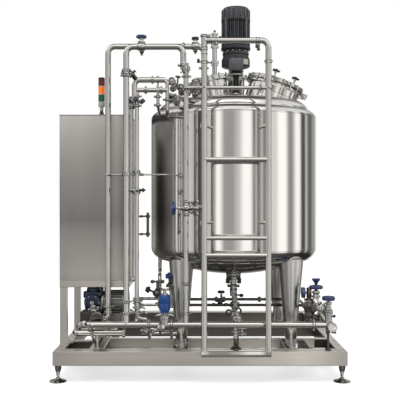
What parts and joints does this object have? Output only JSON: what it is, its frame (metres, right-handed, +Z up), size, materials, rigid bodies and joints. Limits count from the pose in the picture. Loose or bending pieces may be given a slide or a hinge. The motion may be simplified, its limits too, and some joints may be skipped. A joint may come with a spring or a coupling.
{
  "type": "skid-mounted stainless steel mixing tank",
  "caption": "Jacketed stainless mixing tank on a levelled skid, with top agitator, hinged manway, ladder, control cabinet, pump and valved pipework",
  "frame": {"origin": "on the floor under the middle of the machine's outer box", "axes": "+Z up; the ladder and the front pipework face -Y; +X runs to the side of the tank away from the cabinet"},
  "size_m": [2.47, 2.1915, 3.268],
  "materials": {
    "skid_steel": "horizontally brushed stainless steel",
    "cabinet_steel": "satin brushed stainless sheet",
    "tank_steel": "polished stainless steel",
    "pipe_steel": "polished stainless tube",
    "motor_paint": "slate grey enamel",
    "pump_paint": "dark navy enamel",
    "pump_motor_metal": "grey ribbed casting",
    "actuator_paint": "bright blue enamel",
    "wheel_blue": "moulded blue plastic",
    "wheel_black": "moulded black plastic",
    "lamp": "coloured lens rings between black caps"
  },
  "bodies": {
    "machine": {"skid_front_beam": "skid_steel", "skid_rear_beam": "skid_steel", "skid_left_beam": "skid_steel", "skid_right_beam": "skid_steel", "skid_cabinet_beam": "skid_steel", "skid_bay_beam": "skid_steel", "skid_middle_beam": "skid_steel", "skid_rear_leg_beam": "skid_steel", "skid_left_leg_beam": "skid_steel", "skid_right_leg_beam": "skid_steel", "foot_front_left": "pipe_steel", "foot_front_right": "pipe_steel", "foot_rear_left": "pipe_steel", "foot_rear_right": "pipe_steel", "stand_post_front_left": "skid_steel", "stand_post_front_right": "skid_steel", "stand_post_rear_left": "skid_steel", "stand_post_rear_right": "skid_steel", "stand_top_frame": "skid_steel", "control_cabinet": "cabinet_steel", "stack_light": "lamp", "tank_jacket": "tank_steel", "tank_top_head": "tank_steel", "tank_bottom_head": "tank_steel", "tank_leg_front_left": "pipe_steel", "tank_leg_front_right": "pipe_steel", "tank_leg_rear_left": "pipe_steel", "tank_leg_rear_right": "pipe_steel", "manway_neck": "tank_steel", "left_port": "tank_steel", "agitator_nozzle": "tank_steel", "agitator_lantern": "tank_steel", "agitator_gearbox": "motor_paint", "agitator_motor": "motor_paint", "ladder": "pipe_steel", "feed_pipe": "pipe_steel", "return_pipe": "pipe_steel", "drop_pipe": "pipe_steel", "loop_pipe": "pipe_steel", "riser_pipe": "pipe_steel", "header_pipe": "pipe_steel", "lower_pipe": "pipe_steel", "outlet_stack": "pipe_steel", "right_valve_group": "pipe_steel", "valve_actuator": "actuator_paint", "pump_gearbox": "pump_paint", "pump_motor": "pump_motor_metal", "pump_head": "pipe_steel", "pump_base": "skid_steel"},
    "manway_cover": {"manway_lid": "tank_steel"},
    "agitator": {"agitator_shaft": "tank_steel"},
    "return_wheel": {"return_handwheel": "wheel_blue"},
    "feed_wheel": {"feed_handwheel": "wheel_black"},
    "drop_wheel": {"drop_handwheel": "wheel_blue"},
    "end_wheel": {"end_handwheel": "wheel_blue"},
    "upper_wheel": {"upper_handwheel": "wheel_blue"},
    "side_wheel": {"side_handwheel": "wheel_blue"},
    "outlet_wheel": {"outlet_handwheel": "wheel_black"}
  },
  "joints": [
    {"name": "manway_hinge", "type": "hinge", "parent": "machine", "child": "manway_cover", "pos_m": [0.95619, -0.34, 2.43246], "axis": [0, 1, 0], "range_deg": [0, 105]},
    {"name": "agitator_spin", "type": "hinge", "parent": "machine", "child": "agitator", "pos_m": [0.33, -0.21, 1.08], "axis": [0, 0, 1], "continuous": true},
    {"name": "return_valve_turn", "type": "hinge", "parent": "machine", "child": "return_wheel", "pos_m": [-0.481, -0.95, 2.826], "axis": [0, 0, 1], "range_deg": [0, 900]},
    {"name": "feed_valve_turn", "type": "hinge", "parent": "machine", "child": "feed_wheel", "pos_m": [-0.04, -0.785, 2.851], "axis": [0, 0, 1], "range_deg": [0, 900]},
    {"name": "drop_valve_turn", "type": "hinge", "parent": "machine", "child": "drop_wheel", "pos_m": [-0.215, -0.95, 1.421], "axis": [-1, 0, 0], "range_deg": [0, 900]},
    {"name": "end_valve_turn", "type": "hinge", "parent": "machine", "child": "end_wheel", "pos_m": [1.053, -0.95, 0.682], "axis": [0, 0, 1], "range_deg": [0, 900]},
    {"name": "upper_valve_turn", "type": "hinge", "parent": "machine", "child": "upper_wheel", "pos_m": [0.976, -0.8, 0.755], "axis": [0, 0, 1], "range_deg": [0, 900]},
    {"name": "side_valve_turn", "type": "hinge", "parent": "machine", "child": "side_wheel", "pos_m": [0.868, -0.8, 0.709], "axis": [-1, 0, 0], "range_deg": [0, 900]},
    {"name": "outlet_valve_turn", "type": "hinge", "parent": "machine", "child": "outlet_wheel", "pos_m": [0.196, -0.21, 0.635], "axis": [0, 0, 1], "range_deg": [0, 900]}
  ]
}
